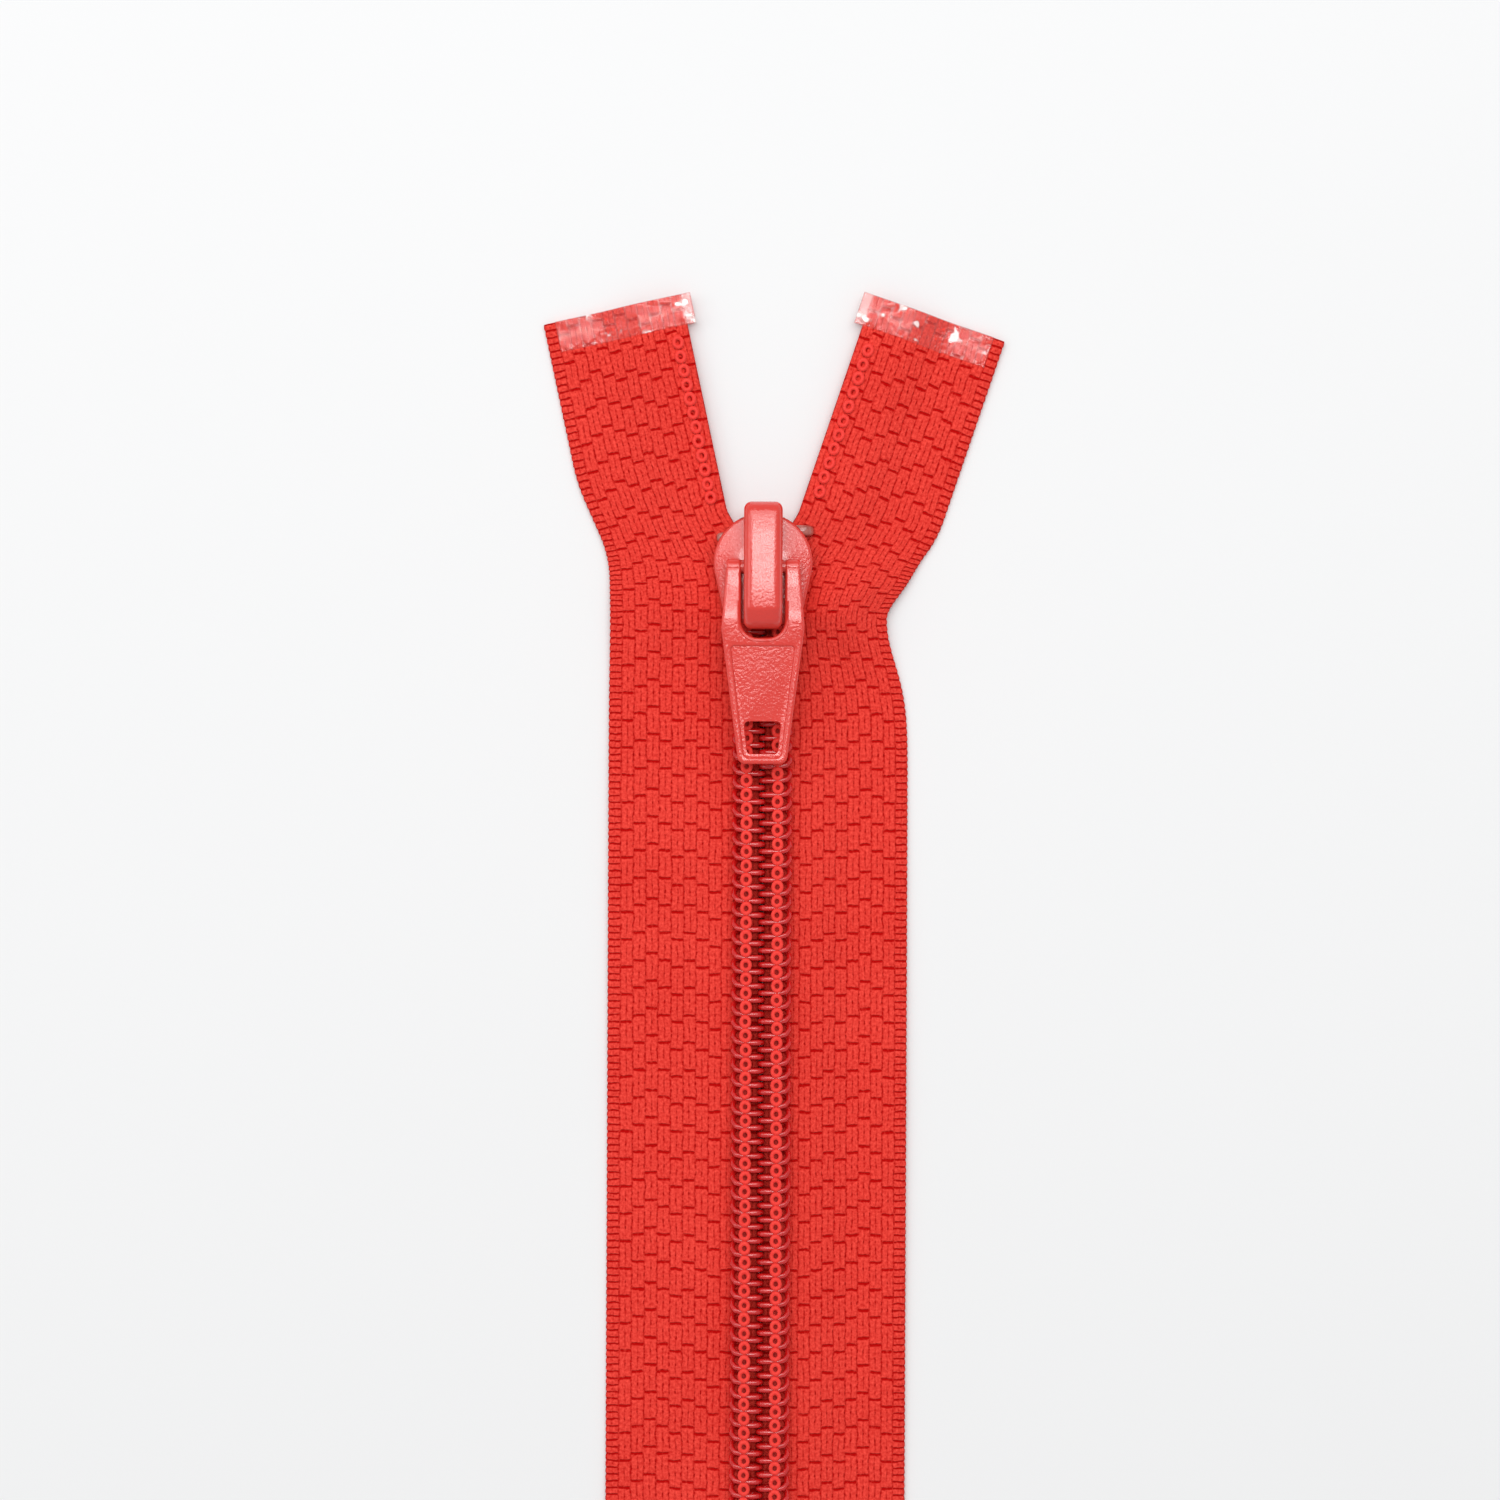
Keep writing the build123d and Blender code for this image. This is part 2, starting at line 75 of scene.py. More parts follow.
# Soft studio light: a bright even room, a large softbox above the top end of the zipper, a weaker
# one to its left, and a narrow one high up that glints on the slider's enamel.
room = bpy.data.worlds.new("room")
room.use_nodes = True
room.node_tree.nodes["Background"].inputs["Color"].default_value = (0.98, 0.99, 1.0, 1)
room.node_tree.nodes["Background"].inputs["Strength"].default_value = 0.45
bpy.context.scene.world = room


def softbox(name, place, aim, size, power):
    """Oblong area light at place, facing aim."""
    data = bpy.data.lights.new(name, "AREA")
    data.shape = "RECTANGLE"
    data.size, data.size_y, data.energy = size[0], size[1], power
    lamp = bpy.data.objects.new(name, data)
    lamp.location = place
    lamp.rotation_euler = (Vector(aim) - Vector(place)).to_track_quat("-Z", "Y").to_euler()
    bpy.context.collection.objects.link(lamp)


softbox("softbox_top", (0.0, 0.46, 0.62), (0, 0.16, 0), (0.85, 0.44), 2.8)
softbox("softbox_left", (-0.70, 0.25, 0.60), (0, 0.12, 0), (0.40, 0.40), 0.8)
softbox("glint", (0.0, 0.262, 0.90), (0, 0.17, 0), (0.44, 0.10), 1.45)


# Table: a plain pale sheet of paper under the zipper.
def finish(name, colour, roughness):
    """A new material with its own nodes: the material, its node tree and its main shader."""
    material = bpy.data.materials.new(name)
    material.use_nodes = True
    tree = material.node_tree
    shader = tree.nodes["Principled BSDF"]
    shader.inputs["Base Color"].default_value = (*colour, 1)
    shader.inputs["Roughness"].default_value = roughness
    return material, tree, shader


def node(tree, kind, **inputs):
    """A new node with the values or links given for its inputs, by name or by place."""
    made = tree.nodes.new(kind)
    for name, value in inputs.items():
        key = int(name[1:]) if name[0] == "i" and name[1:].isdigit() else name.replace("_", " ")
        if isinstance(value, bpy.types.NodeSocket):
            tree.links.new(value, made.inputs[key])
        else:
            made.inputs[key].default_value = value
    return made


def math_node(tree, operation, *values):
    """Result of one arithmetic step on values or sockets."""
    made = node(tree, "ShaderNodeMath", **{f"i{n}": v for n, v in enumerate(values)})
    made.operation = operation
    return made.outputs[0]


def mottle(tree, scale, detail=4.0):
    """Uneven pattern fixed to the piece, between 0 and 1."""
    place = tree.nodes.new("ShaderNodeTexCoord").outputs["Object"]
    return node(tree, "ShaderNodeTexNoise", Vector=place, Scale=scale, Detail=detail).outputs[0]


def tint(tree, shader, factor, low, high):
    """Colour that runs from low to high with factor."""
    mix = node(tree, "ShaderNodeMix", Factor=factor)
    mix.data_type = "RGBA"
    mix.inputs[6].default_value = (*low, 1)
    mix.inputs[7].default_value = (*high, 1)
    tree.links.new(mix.outputs[2], shader.inputs["Base Color"])
    return mix


def bump(tree, shader, height, distance, strength=1.0, under=None):
    """Fine relief of that height in metres."""
    made = node(tree, "ShaderNodeBump", Height=height, Distance=distance, Strength=strength)
    if under:
        tree.links.new(under.outputs[0], made.inputs["Normal"])
    tree.links.new(made.outputs[0], shader.inputs["Normal"])
    return made


paper, tree, shader = finish("paper", (0.90, 0.905, 0.91), 0.9)
tint(tree, shader, mottle(tree, 9.0), (0.845, 0.845, 0.845), (0.870, 0.870, 0.870))
bm = bmesh.new()
bmesh.ops.create_grid(bm, x_segments=1, y_segments=1, size=1.5)
bmesh.ops.translate(bm, verts=bm.verts, vec=(0, 0.1, -0.02 * mm))
table_mesh = bpy.data.meshes.new("table")
bm.to_mesh(table_mesh)
table_mesh.materials.append(paper)
table = bpy.data.objects.new("table", table_mesh)
bpy.context.collection.objects.link(table)

# Woven tapes: polyester, two warps to a rib, the weft showing every fourth pick in a broken
# herringbone and at every pick along the selvedge. They lie on the table outside and rise to
# the chain inside, and the slider pushes up a soft ridge where the ends bend away.
inner_edge, outer_edge = (abs(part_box("tape_end_right")[n].x) for n in (0, 1))
tape_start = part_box("tape_end_left")[0].y
table_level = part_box("tape_end_left")[0].z
chain_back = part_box("looper_thread_left")[1].z
chain_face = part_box("coil_left")[0].z
tape_thick = chain_face - chain_back
slider_rear, slider_front = (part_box("slider_body")[n].y for n in (0, 1))
chain_open = slider_rear + 2.6 * mm
pin_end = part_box("insertion_pin")[1].y
tape_width = outer_edge - inner_edge
ramp_near, ramp_far = 5.7 * mm, 9.3 * mm
ribs = 12
rib_width = tape_width / ribs
pick = 0.73 * mm
SIDES = {"left": -1, "right": 1}
lean_angle = {-1: 12.2, 1: 18.6}
bend_start = {-1: 2.0 * mm, 1: 0.5 * mm}
bend_angle = {-1: 24.0, 1: 35.0}
bend_run = {-1: 8.5 * mm, 1: 4.6 * mm}
bend_radius = {-1: 12 * mm, 1: 8 * mm}
ease_radius = {-1: 20 * mm, 1: 14 * mm}
weft_steps = (0, 1, 2, 3, 2, 1, 2, 1, 0, 1, 2, 1)   # picks that each rib's floats are stepped by
end_drop = {-1: 3.2 * mm, 1: 4.8 * mm}              # the top cut's outer corner below its inner


def spread(y, start, steep, mouth, final, turn, back):
    """Distance that an edge stands out at y. It leaves the chain at start on an arc, runs on at
    the angle steep up to mouth, and eases back to the angle final."""
    y = np.asarray(y, float)
    steep, final = math.radians(steep), math.radians(final)
    turn_end = start + turn * math.sin(steep)
    at_mouth = turn * (1 - math.cos(steep)) + (mouth - turn_end) * math.tan(steep)
    back_end = mouth + back * (math.sin(steep) - math.sin(final))
    on_arc = turn - np.sqrt(np.maximum(turn**2 - (np.clip(y, start, turn_end) - start) ** 2, 0))
    run = at_mouth - (mouth - y) * math.tan(steep)
    sine = math.sin(steep) - (np.clip(y, mouth, back_end) - mouth) / back
    easing = at_mouth + back * (np.sqrt(1 - sine**2) - math.cos(steep))
    beyond = back * (math.cos(final) - math.cos(steep)) + at_mouth
    beyond = beyond + (y - back_end) * math.tan(final)
    return np.select(
        [y <= start, y <= turn_end, y <= mouth, y <= back_end], [0 * y, on_arc, run, easing], beyond
    )


def inner_spread(y, side):
    return spread(y, chain_open, 30.0, slider_front, lean_angle[side], 12 * mm, 3 * mm)


def outer_spread(y, side):
    start = chain_open + bend_start[side]
    return spread(
        y, start, bend_angle[side], start + bend_run[side], lean_angle[side], bend_radius[side],
        ease_radius[side],
    )


def swell(x):
    """Smooth step from 0 to 1 as x goes from 0 to 1."""
    x = np.clip(x, 0, 1)
    return x * x * (3 - 2 * x)


def bell(x):
    return np.exp(-x * x)


def pulled_in(y, side):
    """How far the selvedge is drawn in at y: most at the right tape's fold beside the slider."""
    fold = y - slider_rear - 0.6 * mm
    width = np.where(fold > 0, 3.6 * mm, 6.5 * mm)
    if side == 1:
        return 2.3 * mm * bell(fold / width) + 0.5 * mm * (1 - swell(fold / (4 * mm)))
    return 0.1 * mm * bell(fold / width) - 0.35 * mm


def tape_point(side, across, along, lift):
    """Point of a tape: across from its inner edge, along it from the box end, and lift above its
    back, all in metres and all arrays."""
    share = across / tape_width
    near_x = inner_edge + inner_spread(along, side)
    far_y = along - end_drop[side] * swell((along - chain_open + 3 * mm) / (15 * mm))
    far_x = outer_edge + outer_spread(far_y, side) - pulled_in(far_y, side)
    x = near_x + (far_x - near_x) * share
    y = along + (far_y - along) * share
    down = swell((across - ramp_near + mm) / (ramp_far - ramp_near + 2 * mm))
    level = chain_back - (chain_back - table_level) * down
    ridge_height = (2.6 if side == 1 else 1.1) * mm
    ridge = ridge_height * bell((y - slider_rear - (4.5 - 3.5 * share) * mm) / (5 * mm))
    ridge = ridge * swell((across - 3.6 * mm) / (5 * mm)) * (1 - 0.72 * swell((share - 0.62) / 0.38))
    wave = 0.16 * mm * np.sin(y / (17 * mm) + side) * swell((share - 0.55) / 0.4)
    wave = (wave + 0.16 * mm) * swell((share - 0.5) / 0.4)
    return x * side, y, level + ridge + wave + lift


def weave_relief(across, along):
    """Height of the yarns, in metres: a groove between ribs, a shallower one between a rib's two
    warps, and a dip where the weft crosses."""
    rib = (tape_width - across) / rib_width
    column = np.clip(np.floor(rib + 1e-6), 0, ribs - 1).astype(int)
    place = rib - column
    step = np.asarray(weft_steps)[column]
    phase = np.where(column == 0, np.mod(along / pick, 1) * 4, np.mod(along / pick - step, 4))
    from_weft = np.minimum(phase, 4 - phase)
    at_rib = bell(np.minimum(place, 1 - place) / 0.12)
    at_middle = bell((place - 0.5) / 0.12) * swell((from_weft - 0.4) / 1.0)
    at_weft = bell(from_weft / np.where(column == 0, 1.1, 0.42))
    return -(0.09 * at_rib + 0.045 * at_middle + 0.07 * at_weft) * mm + 0.02 * mm


def finish_piece(name, mesh, body, material, smooth=True):
    """An object from a finished mesh, riding on body."""
    mesh.materials.clear()
    mesh.materials.append(material)
    if smooth:
        mesh.shade_smooth()
    piece = bpy.data.objects.new(name, mesh)
    bpy.context.collection.objects.link(piece)
    if body:
        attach(piece, body)
    return piece


def coordinates(mesh):
    """A mesh's points as an array."""
    found = np.zeros(len(mesh.vertices) * 3)
    mesh.vertices.foreach_get("co", found)
    return found.reshape(-1, 3)


def cloth_map(mesh, across, along):
    """UV map in metres across and along the cloth, for a pattern that follows the threads."""
    loops = np.zeros(len(mesh.loops), np.int32)
    mesh.loops.foreach_get("vertex_index", loops)
    layer = mesh.uv_layers.new(name="cloth")
    layer.data.foreach_set("uv", np.stack([across[loops], along[loops]], 1).ravel())


def woven(colour_low, colour_high):
    """Woven polyester: slits where the weft dives and broken grooves beside and inside each rib,
    sunk in the bump and darkened with painted shade, and fine fibres along the warp."""
    material, tree, shader = finish("woven_tape", colour_high, 0.82)
    uv = tree.nodes.new("ShaderNodeUVMap")
    uv.uv_map = "cloth"

    def calc(operation, *values):
        return math_node(tree, operation, *values)

    def noise(place, scale, detail, rough=0.5):
        kind = "ShaderNodeTexNoise"
        return node(tree, kind, Vector=place, Scale=scale, Detail=detail, Roughness=rough).outputs[0]

    def ranged(value, start, end, first, last, kind="LINEAR"):
        """The value, carried from start and end to first and last."""
        made = node(tree, "ShaderNodeMapRange", Value=value, From_Min=start, From_Max=end)
        made.inputs["To Min"].default_value, made.inputs["To Max"].default_value = first, last
        made.interpolation_type = kind
        return made.outputs[0]

    # Which rib a point is in, and how far it is from the rib's border, which wavers a little.
    cloth = uv.outputs[0]
    parts = node(tree, "ShaderNodeSeparateXYZ", Vector=cloth)
    waver = calc("MULTIPLY", calc("SUBTRACT", noise(cloth, 500.0, 2.0), 0.5), 0.30)
    rib = calc("DIVIDE", calc("SUBTRACT", tape_width, parts.outputs[0]), rib_width)
    rib = calc("ADD", rib, waver)
    column = calc("FLOOR", rib)
    edge = calc("PINGPONG", calc("FRACT", rib), 0.5)
    selvedge = calc("LESS_THAN", column, 0.5)

    # How far it is from the weft, in picks: one pick in four shows, and every one in the selvedge.
    steps = node(tree, "ShaderNodeValToRGB", Fac=calc("DIVIDE", calc("ADD", column, 0.5), float(ribs)))
    steps.color_ramp.interpolation = "CONSTANT"
    for n, step in enumerate(weft_steps):
        stop = steps.color_ramp.elements[0] if n == 0 else steps.color_ramp.elements.new(n / ribs)
        stop.color = (step / 4, step / 4, step / 4, 1)
    steps.color_ramp.elements[-1].color = (weft_steps[-1] / 4,) * 3 + (1,)
    wobble = calc("MULTIPLY", calc("SUBTRACT", noise(cloth, 900.0, 2.0), 0.5), 0.5)
    picks = calc("ADD", calc("DIVIDE", parts.outputs[1], pick), wobble)
    shift = calc("MULTIPLY", steps.outputs[0], 4.0)
    phase = calc("FLOORED_MODULO", calc("SUBTRACT", picks, shift), 4.0)
    away_float = calc("MULTIPLY", calc("PINGPONG", phase, 2.0), calc("SUBTRACT", 1.0, selvedge))
    away_every = calc("MULTIPLY", calc("PINGPONG", calc("FRACT", picks), 0.5), 1.6)
    away = calc("ADD", away_float, calc("MULTIPLY", away_every, selvedge))

    # Depth of the hollows, which also sets their painted shade: slits at the weft, patchy lines along
    # the ribs, and dots at mid-float.
    slit = ranged(away, 0.06, 0.30, 1.0, 0.0, "SMOOTHSTEP")
    slit = calc("MULTIPLY", slit, ranged(edge, 0.0, 0.09, 0.45, 1.0))
    groove = ranged(edge, 0.0, 0.10, 0.50, 0.0)
    middle = ranged(edge, 0.42, 0.5, 0.0, 0.40)
    middle_shown = calc("MULTIPLY", middle, calc("MINIMUM", away, 1.0))
    patchy = calc("MULTIPLY", noise(cloth, 900.0, 1.0), 2.3)
    lines = calc("MULTIPLY", calc("MAXIMUM", groove, middle_shown), patchy)
    halfway = ranged(away, 1.55, 1.9, 0.0, 0.8, "SMOOTHSTEP")
    dots = calc("MULTIPLY", halfway, calc("MULTIPLY", calc("MAXIMUM", groove, middle), 2.8))
    hollow_depth_and_shade = calc("MAXIMUM", calc("MAXIMUM", slit, lines), dots)

    # Fibres: streaks along the warp and fine specks, which lighten the yarn between the hollows; the
    # hollows darken it as painted shade.
    stretch = node(tree, "ShaderNodeMapping", Vector=cloth, Scale=(1.0, 0.32, 1.0))
    fibre = noise(stretch.outputs[0], 7000.0, 5.0, 0.7)
    specks = noise(cloth, 3300.0, 3.0)
    broad = mottle(tree, 90.0, 3.0)
    bright = calc("ADD", calc("MULTIPLY", fibre, 1.6), calc("MULTIPLY", broad, 0.4))
    bright = calc("ADD", bright, calc("MULTIPLY", specks, 2.6))
    # Painted shade: the yarn's colour is darkened in the hollows, where shade would fall.
    bright = calc("SUBTRACT", bright, calc("MULTIPLY", hollow_depth_and_shade, 1.25))
    tint(tree, shader, ranged(bright, 1.25, 2.95, 0.0, 1.0), colour_low, colour_high)
    height = calc("ADD", calc("MULTIPLY", fibre, 0.5), calc("MULTIPLY", specks, 0.8))
    bump(tree, shader, calc("SUBTRACT", height, hollow_depth_and_shade), 0.09 * mm, 1.0)
    shader.inputs["Sheen Weight"].default_value = 0.05
    shader.inputs["Sheen Roughness"].default_value = 0.5
    shader.inputs["Sheen Tint"].default_value = (1.0, 0.45, 0.40, 1)
    shader.inputs["Specular IOR Level"].default_value = 0.08
    return material


tape_cloth = woven((0.50, 0.0, 0.0), (1.0, 0.082, 0.058))
tape_length = chain_top - tape_start
rows = 3 * round(tape_length / pick)
for name, side in SIDES.items():
    bm = bmesh.new()
    bmesh.ops.create_grid(bm, x_segments=4 * ribs, y_segments=rows, size=0.5)
    bmesh.ops.translate(bm, verts=bm.verts, vec=(0.5, 0.5, 0))
    grown = bmesh.ops.extrude_face_region(bm, geom=bm.faces[:])
    above = [v for v in grown["geom"] if isinstance(v, bmesh.types.BMVert)]
    bmesh.ops.translate(bm, verts=above, vec=(0, 0, 1))
    bmesh.ops.recalc_face_normals(bm, faces=bm.faces)
    if side == -1:
        bmesh.ops.reverse_faces(bm, faces=bm.faces)
    mesh = bpy.data.meshes.new(f"tape_{name}")
    bm.to_mesh(mesh)
    bm.free()
    place = coordinates(mesh)
    across, along = place[:, 0] * tape_width, tape_start + place[:, 1] * tape_length
    relief = weave_relief(across, along - tape_start)
    edge = np.minimum(across, tape_width - across)
    roll = 0.2 * mm * bell(edge / (0.25 * mm))
    lift = np.where(place[:, 2] > 0.5, tape_thick + relief - roll, -relief + roll)
    scallop = 0.05 * mm * np.cos(2 * math.pi * (along - tape_start) / pick + math.pi)
    across_out = across + np.where(across > tape_width - 0.1 * mm, scallop, 0)
    mesh.vertices.foreach_set("co", np.stack(tape_point(side, across_out, along, lift), 1).ravel())
    cloth_map(mesh, across, along - tape_start)
    mesh.update()
    piece = finish_piece(f"tape_{name}", mesh, None, tape_cloth)
    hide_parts(f"tape_{name}", f"tape_end_{name}")
    swing = Vector((side * 0.8 * mm, pin_end - 0.8 * mm, chain_face))
    reach = Vector((0, 1.5 * mm, 0))
    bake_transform(piece)


# Coils: one dark red polyester monofilament a side, wound in flattened turns on a mandrel and
# heat-set. The heads of the two coils interlock along the middle; beyond the slider they part.
wire_radius = 0.31 * mm
pitch = 1.5 * mm
coil_drop = 1.43 * mm
coil_reach = 3.3 * mm
head_overlap = 0.45 * mm
stitch_line = 1.65 * mm
coil_low = chain_face + wire_radius
coil_high = coil_low + coil_drop


def tube(name, points, radius, sides, cyclic=False):
    """Round rod through the points, as a mesh with closed ends."""
    line = bpy.data.curves.new(name, "CURVE")
    line.dimensions = "3D"
    line.bevel_depth = radius
    line.bevel_resolution = (sides - 4) // 2
    line.use_fill_caps = True
    spline = line.splines.new("POLY")
    spline.points.add(len(points) - 1)
    spline.points.foreach_set("co", np.c_[points, np.ones(len(points))].ravel())
    spline.use_cyclic_u = cyclic
    spline.use_smooth = True
    maker = bpy.data.objects.new(name, line)
    bpy.context.collection.objects.link(maker)
    mesh = bpy.data.meshes.new_from_object(maker.evaluated_get(bpy.context.evaluated_depsgraph_get()))
    mesh.name = name
    bpy.data.objects.remove(maker)
    bpy.data.curves.remove(line)
    return mesh


def coil_places(name):
    """Where a coil's turns stand along the chain."""
    low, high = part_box(f"coil_{name}")
    first, last = low.y + wire_radius, high.y - wire_radius
    return first + pitch * np.arange(round((last - first) / pitch) + 1)


def coil_path(side, places):
    """Line of the filament: in along each lower limb, round the head, out along the upper limb,
    and round the loop to the next turn."""
    head_radius = coil_drop / 2
    loop_radius = math.hypot(pitch, coil_drop) / 2
    middle = (coil_low + coil_high) / 2
    path = []
    for y in places:
        shift = float(inner_spread(y, side))
        above = float(inner_spread(y + pitch, side))
        head = wire_radius + head_radius - head_overlap + shift
        loop = coil_reach - wire_radius - loop_radius + max(shift, above)
        for turn in np.linspace(-math.pi / 2, math.pi / 2, 7):
            path.append((head - head_radius * math.cos(turn), y, middle + head_radius * math.sin(turn)))
        if y == places[-1]:
            path.append((loop, y, coil_high))
            continue
        for turn in np.linspace(0, math.pi, 6):
            rise = math.cos(turn)
            out = loop + loop_radius * math.sin(turn)
            path.append((out, y + pitch * (1 - rise) / 2, middle + rise * coil_drop / 2))
    path = np.array(path)
    path[:, 0] *= side
    return path


filament, tree, shader = finish("coil_filament", (0.44, 0.006, 0.006), 0.20)
tint(tree, shader, mottle(tree, 1500.0, 3.0), (0.46, 0.004, 0.004), (0.74, 0.012, 0.012))
bump(tree, shader, mottle(tree, 5000.0, 2.0), 0.01 * mm, 0.5)
shader.inputs["Specular IOR Level"].default_value = 0.75
shader.inputs["Coat Weight"].default_value = 0.35
shader.inputs["Coat Roughness"].default_value = 0.12
for name, side in SIDES.items():
    mesh = tube(f"coil_{name}", coil_path(side, coil_places(name)), wire_radius, 8)
    piece = finish_piece(f"coil_{name}", mesh, f"{name}_half", filament)
    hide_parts(f"coil_{name}")

# Core cords: a soft spun cord inside each coil, which the stitches bite into. It is twisted from
# three plies, and shows between the turns.
cord_radius = 0.37 * mm
cord_yarn, tree, shader = finish("core_cord", (0.62, 0.03, 0.02), 0.85)
tint(tree, shader, mottle(tree, 2500.0, 4.0), (0.45, 0.012, 0.01), (0.75, 0.05, 0.035))
bump(tree, shader, mottle(tree, 4000.0, 4.0), 0.04 * mm, 0.8)
for name, side in SIDES.items():
    low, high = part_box(f"core_cord_{name}")
    level = (low.z + high.z) / 2
    along = np.arange(low.y, high.y - cord_radius / 2, 0.5 * mm)
    bm = bmesh.new()
    for ply in range(3):
        turn = 2 * math.pi * (along / (2.4 * mm) + ply / 3)
        ply_radius = 0.53 * cord_radius
        swing = cord_radius - ply_radius
        across = side * (stitch_line + inner_spread(along, side)) + swing * np.cos(turn)
        bm.from_mesh(tube("ply", np.c_[across, along, level + swing * np.sin(turn)], ply_radius, 6))
    mesh = bpy.data.meshes.new(f"core_cord_{name}")
    bm.to_mesh(mesh)
    bm.free()
    piece = finish_piece(f"core_cord_{name}", mesh, f"{name}_half", cord_yarn)
    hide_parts(f"core_cord_{name}")

# Needle threads: bright red polyester sewing thread. Each stitch is a ring of thread drawn down
# over the turns, round the hole that the needle left, and the row runs on up the bare tape ends.
chance = np.random.default_rng(7)


def stitch_ring(half_wide, half_long, thread, around, section):
    """One stitch: a ring of thread, longer along the row, pressed flat."""
    bm = bmesh.new()
    made = bmesh.ops.create_circle(bm, segments=section, radius=1.0)
    bmesh.ops.rotate(bm, verts=bm.verts, cent=(0, 0, 0), matrix=Matrix.Rotation(math.pi / 2, 3, "X"))
    bmesh.ops.scale(bm, verts=bm.verts, vec=(thread[0], 1, thread[1]))
    bmesh.ops.translate(bm, verts=bm.verts, vec=(half_wide - thread[0], 0, 0))
    bmesh.ops.spin(
        bm, geom=bm.verts[:] + bm.edges[:], cent=(0, 0, 0), axis=(0, 0, 1), angle=2 * math.pi,
        steps=around, use_merge=True,
    )
    bmesh.ops.scale(bm, verts=bm.verts, vec=(1, half_long / half_wide, 1))
    bmesh.ops.remove_doubles(bm, verts=bm.verts, dist=1e-7)
    bmesh.ops.recalc_face_normals(bm, faces=bm.faces)
    mesh = bpy.data.meshes.new("stitch")
    bm.to_mesh(mesh)
    bm.free()
    return mesh


def row_of(ring, places):
    """A mesh of that ring at each place, which is a point, a turn about Z and a size."""
    bm = bmesh.new()
    for point, turn, size in places:
        done = len(bm.verts)
        bm.from_mesh(ring)
        bm.verts.ensure_lookup_table()
        move = Matrix.Translation(point) @ Matrix.Rotation(turn, 4, "Z") @ Matrix.Scale(size, 4)
        bmesh.ops.transform(bm, matrix=move, verts=bm.verts[done:])
    mesh = bpy.data.meshes.new("row")
    bm.to_mesh(mesh)
    bm.free()
    return mesh


def leaning(y, side):
    """Turn about Z of something that lies along the tape at y."""
    return -side * math.atan2(float(inner_spread(y + mm, side) - inner_spread(y - mm, side)), 2 * mm)


thread, tree, shader = finish("sewing_thread", (0.90, 0.04, 0.03), 0.6)
tint(tree, shader, mottle(tree, 3500.0, 4.0), (0.80, 0.010, 0.008), (1.0, 0.070, 0.048))
bump(tree, shader, mottle(tree, 5200.0, 5.0), 0.05 * mm, 0.9)
shader.inputs["Sheen Weight"].default_value = 0.2
shader.inputs["Sheen Roughness"].default_value = 0.4
shader.inputs["Specular IOR Level"].default_value = 0.35
ring = stitch_ring(0.68 * mm, 0.80 * mm, (0.235 * mm, 0.18 * mm), 12, 6)
for name, side in SIDES.items():
    places = coil_places(name)
    row_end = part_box(f"needle_thread_{name}")[1].y - pitch / 3
    row = []
    for y in np.arange(places[0] + pitch / 2, row_end, pitch):
        on_coil = y + pitch / 2 <= places[-1] + 1e-6
        if not on_coil and y - pitch <= places[-1] + 2 * pitch:
            continue
        level = (coil_high + wire_radius + 0.02 * mm) if on_coil else chain_face + 0.17 * mm
        u = stitch_line + float(inner_spread(y, side))
        point = Vector((side * u, y, level)) + Vector(chance.uniform(-1, 1, 3)) * 0.03 * mm
        row.append((point, leaning(y, side) + chance.normal(0, 0.05), 1 + chance.normal(0, 0.025)))
    piece = finish_piece(f"needle_thread_{name}", row_of(ring, row), f"{name}_half", thread)
    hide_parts(f"needle_thread_{name}")

# Looper threads: the same thread on the tape's back, locked into a chain of narrow links.
link = stitch_ring(0.34 * mm, 0.95 * mm, (0.12 * mm, 0.12 * mm), 12, 6)
for name, side in SIDES.items():
    low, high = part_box(f"looper_thread_{name}")
    row = []
    for y in np.arange(low.y + 0.96 * mm, high.y - 0.9 * mm, pitch):
        u = stitch_line + float(inner_spread(y, side))
        row.append((Vector((side * u, y, chain_back - 0.125 * mm)), leaning(y, side), 1.0))
    piece = finish_piece(f"looper_thread_{name}", row_of(link, row), f"{name}_half", thread)
    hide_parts(f"looper_thread_{name}")

# Top stops: the ends of the coils, melted into small brownish lumps that the slider runs up to.
lump, tree, shader = finish("melted_coil_end", (0.36, 0.06, 0.045), 0.25)
tint(tree, shader, mottle(tree, 1500.0, 2.0), (0.22, 0.02, 0.015), (0.62, 0.20, 0.16))
bump(tree, shader, mottle(tree, 1800.0, 2.0), 0.08 * mm, 0.8)
shader.inputs["Coat Weight"].default_value = 0.6
for name, side in SIDES.items():
    low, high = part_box(f"top_stop_{name}")
    bm = bmesh.new()
    bmesh.ops.create_cube(bm, size=1)
    bmesh.ops.bevel(
        bm, geom=bm.edges[:], offset=0.3, offset_type="OFFSET", segments=3, profile=0.5,
        affect="EDGES", material=-1,
    )
    bmesh.ops.scale(bm, verts=bm.verts, vec=high - low)
    bmesh.ops.translate(bm, verts=bm.verts, vec=(low + high) / 2)
    for vert in bm.verts:
        vert.co.z -= 0.25 * mm * (1 + math.sin(vert.co.x * 2600)) * (vert.co.z > chain_face + 0.4 * mm)
    mesh = bpy.data.meshes.new(f"top_stop_{name}")
    bm.to_mesh(mesh)
    bm.free()
    piece = finish_piece(f"top_stop_{name}", mesh, f"{name}_half", lump)
    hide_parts(f"top_stop_{name}")

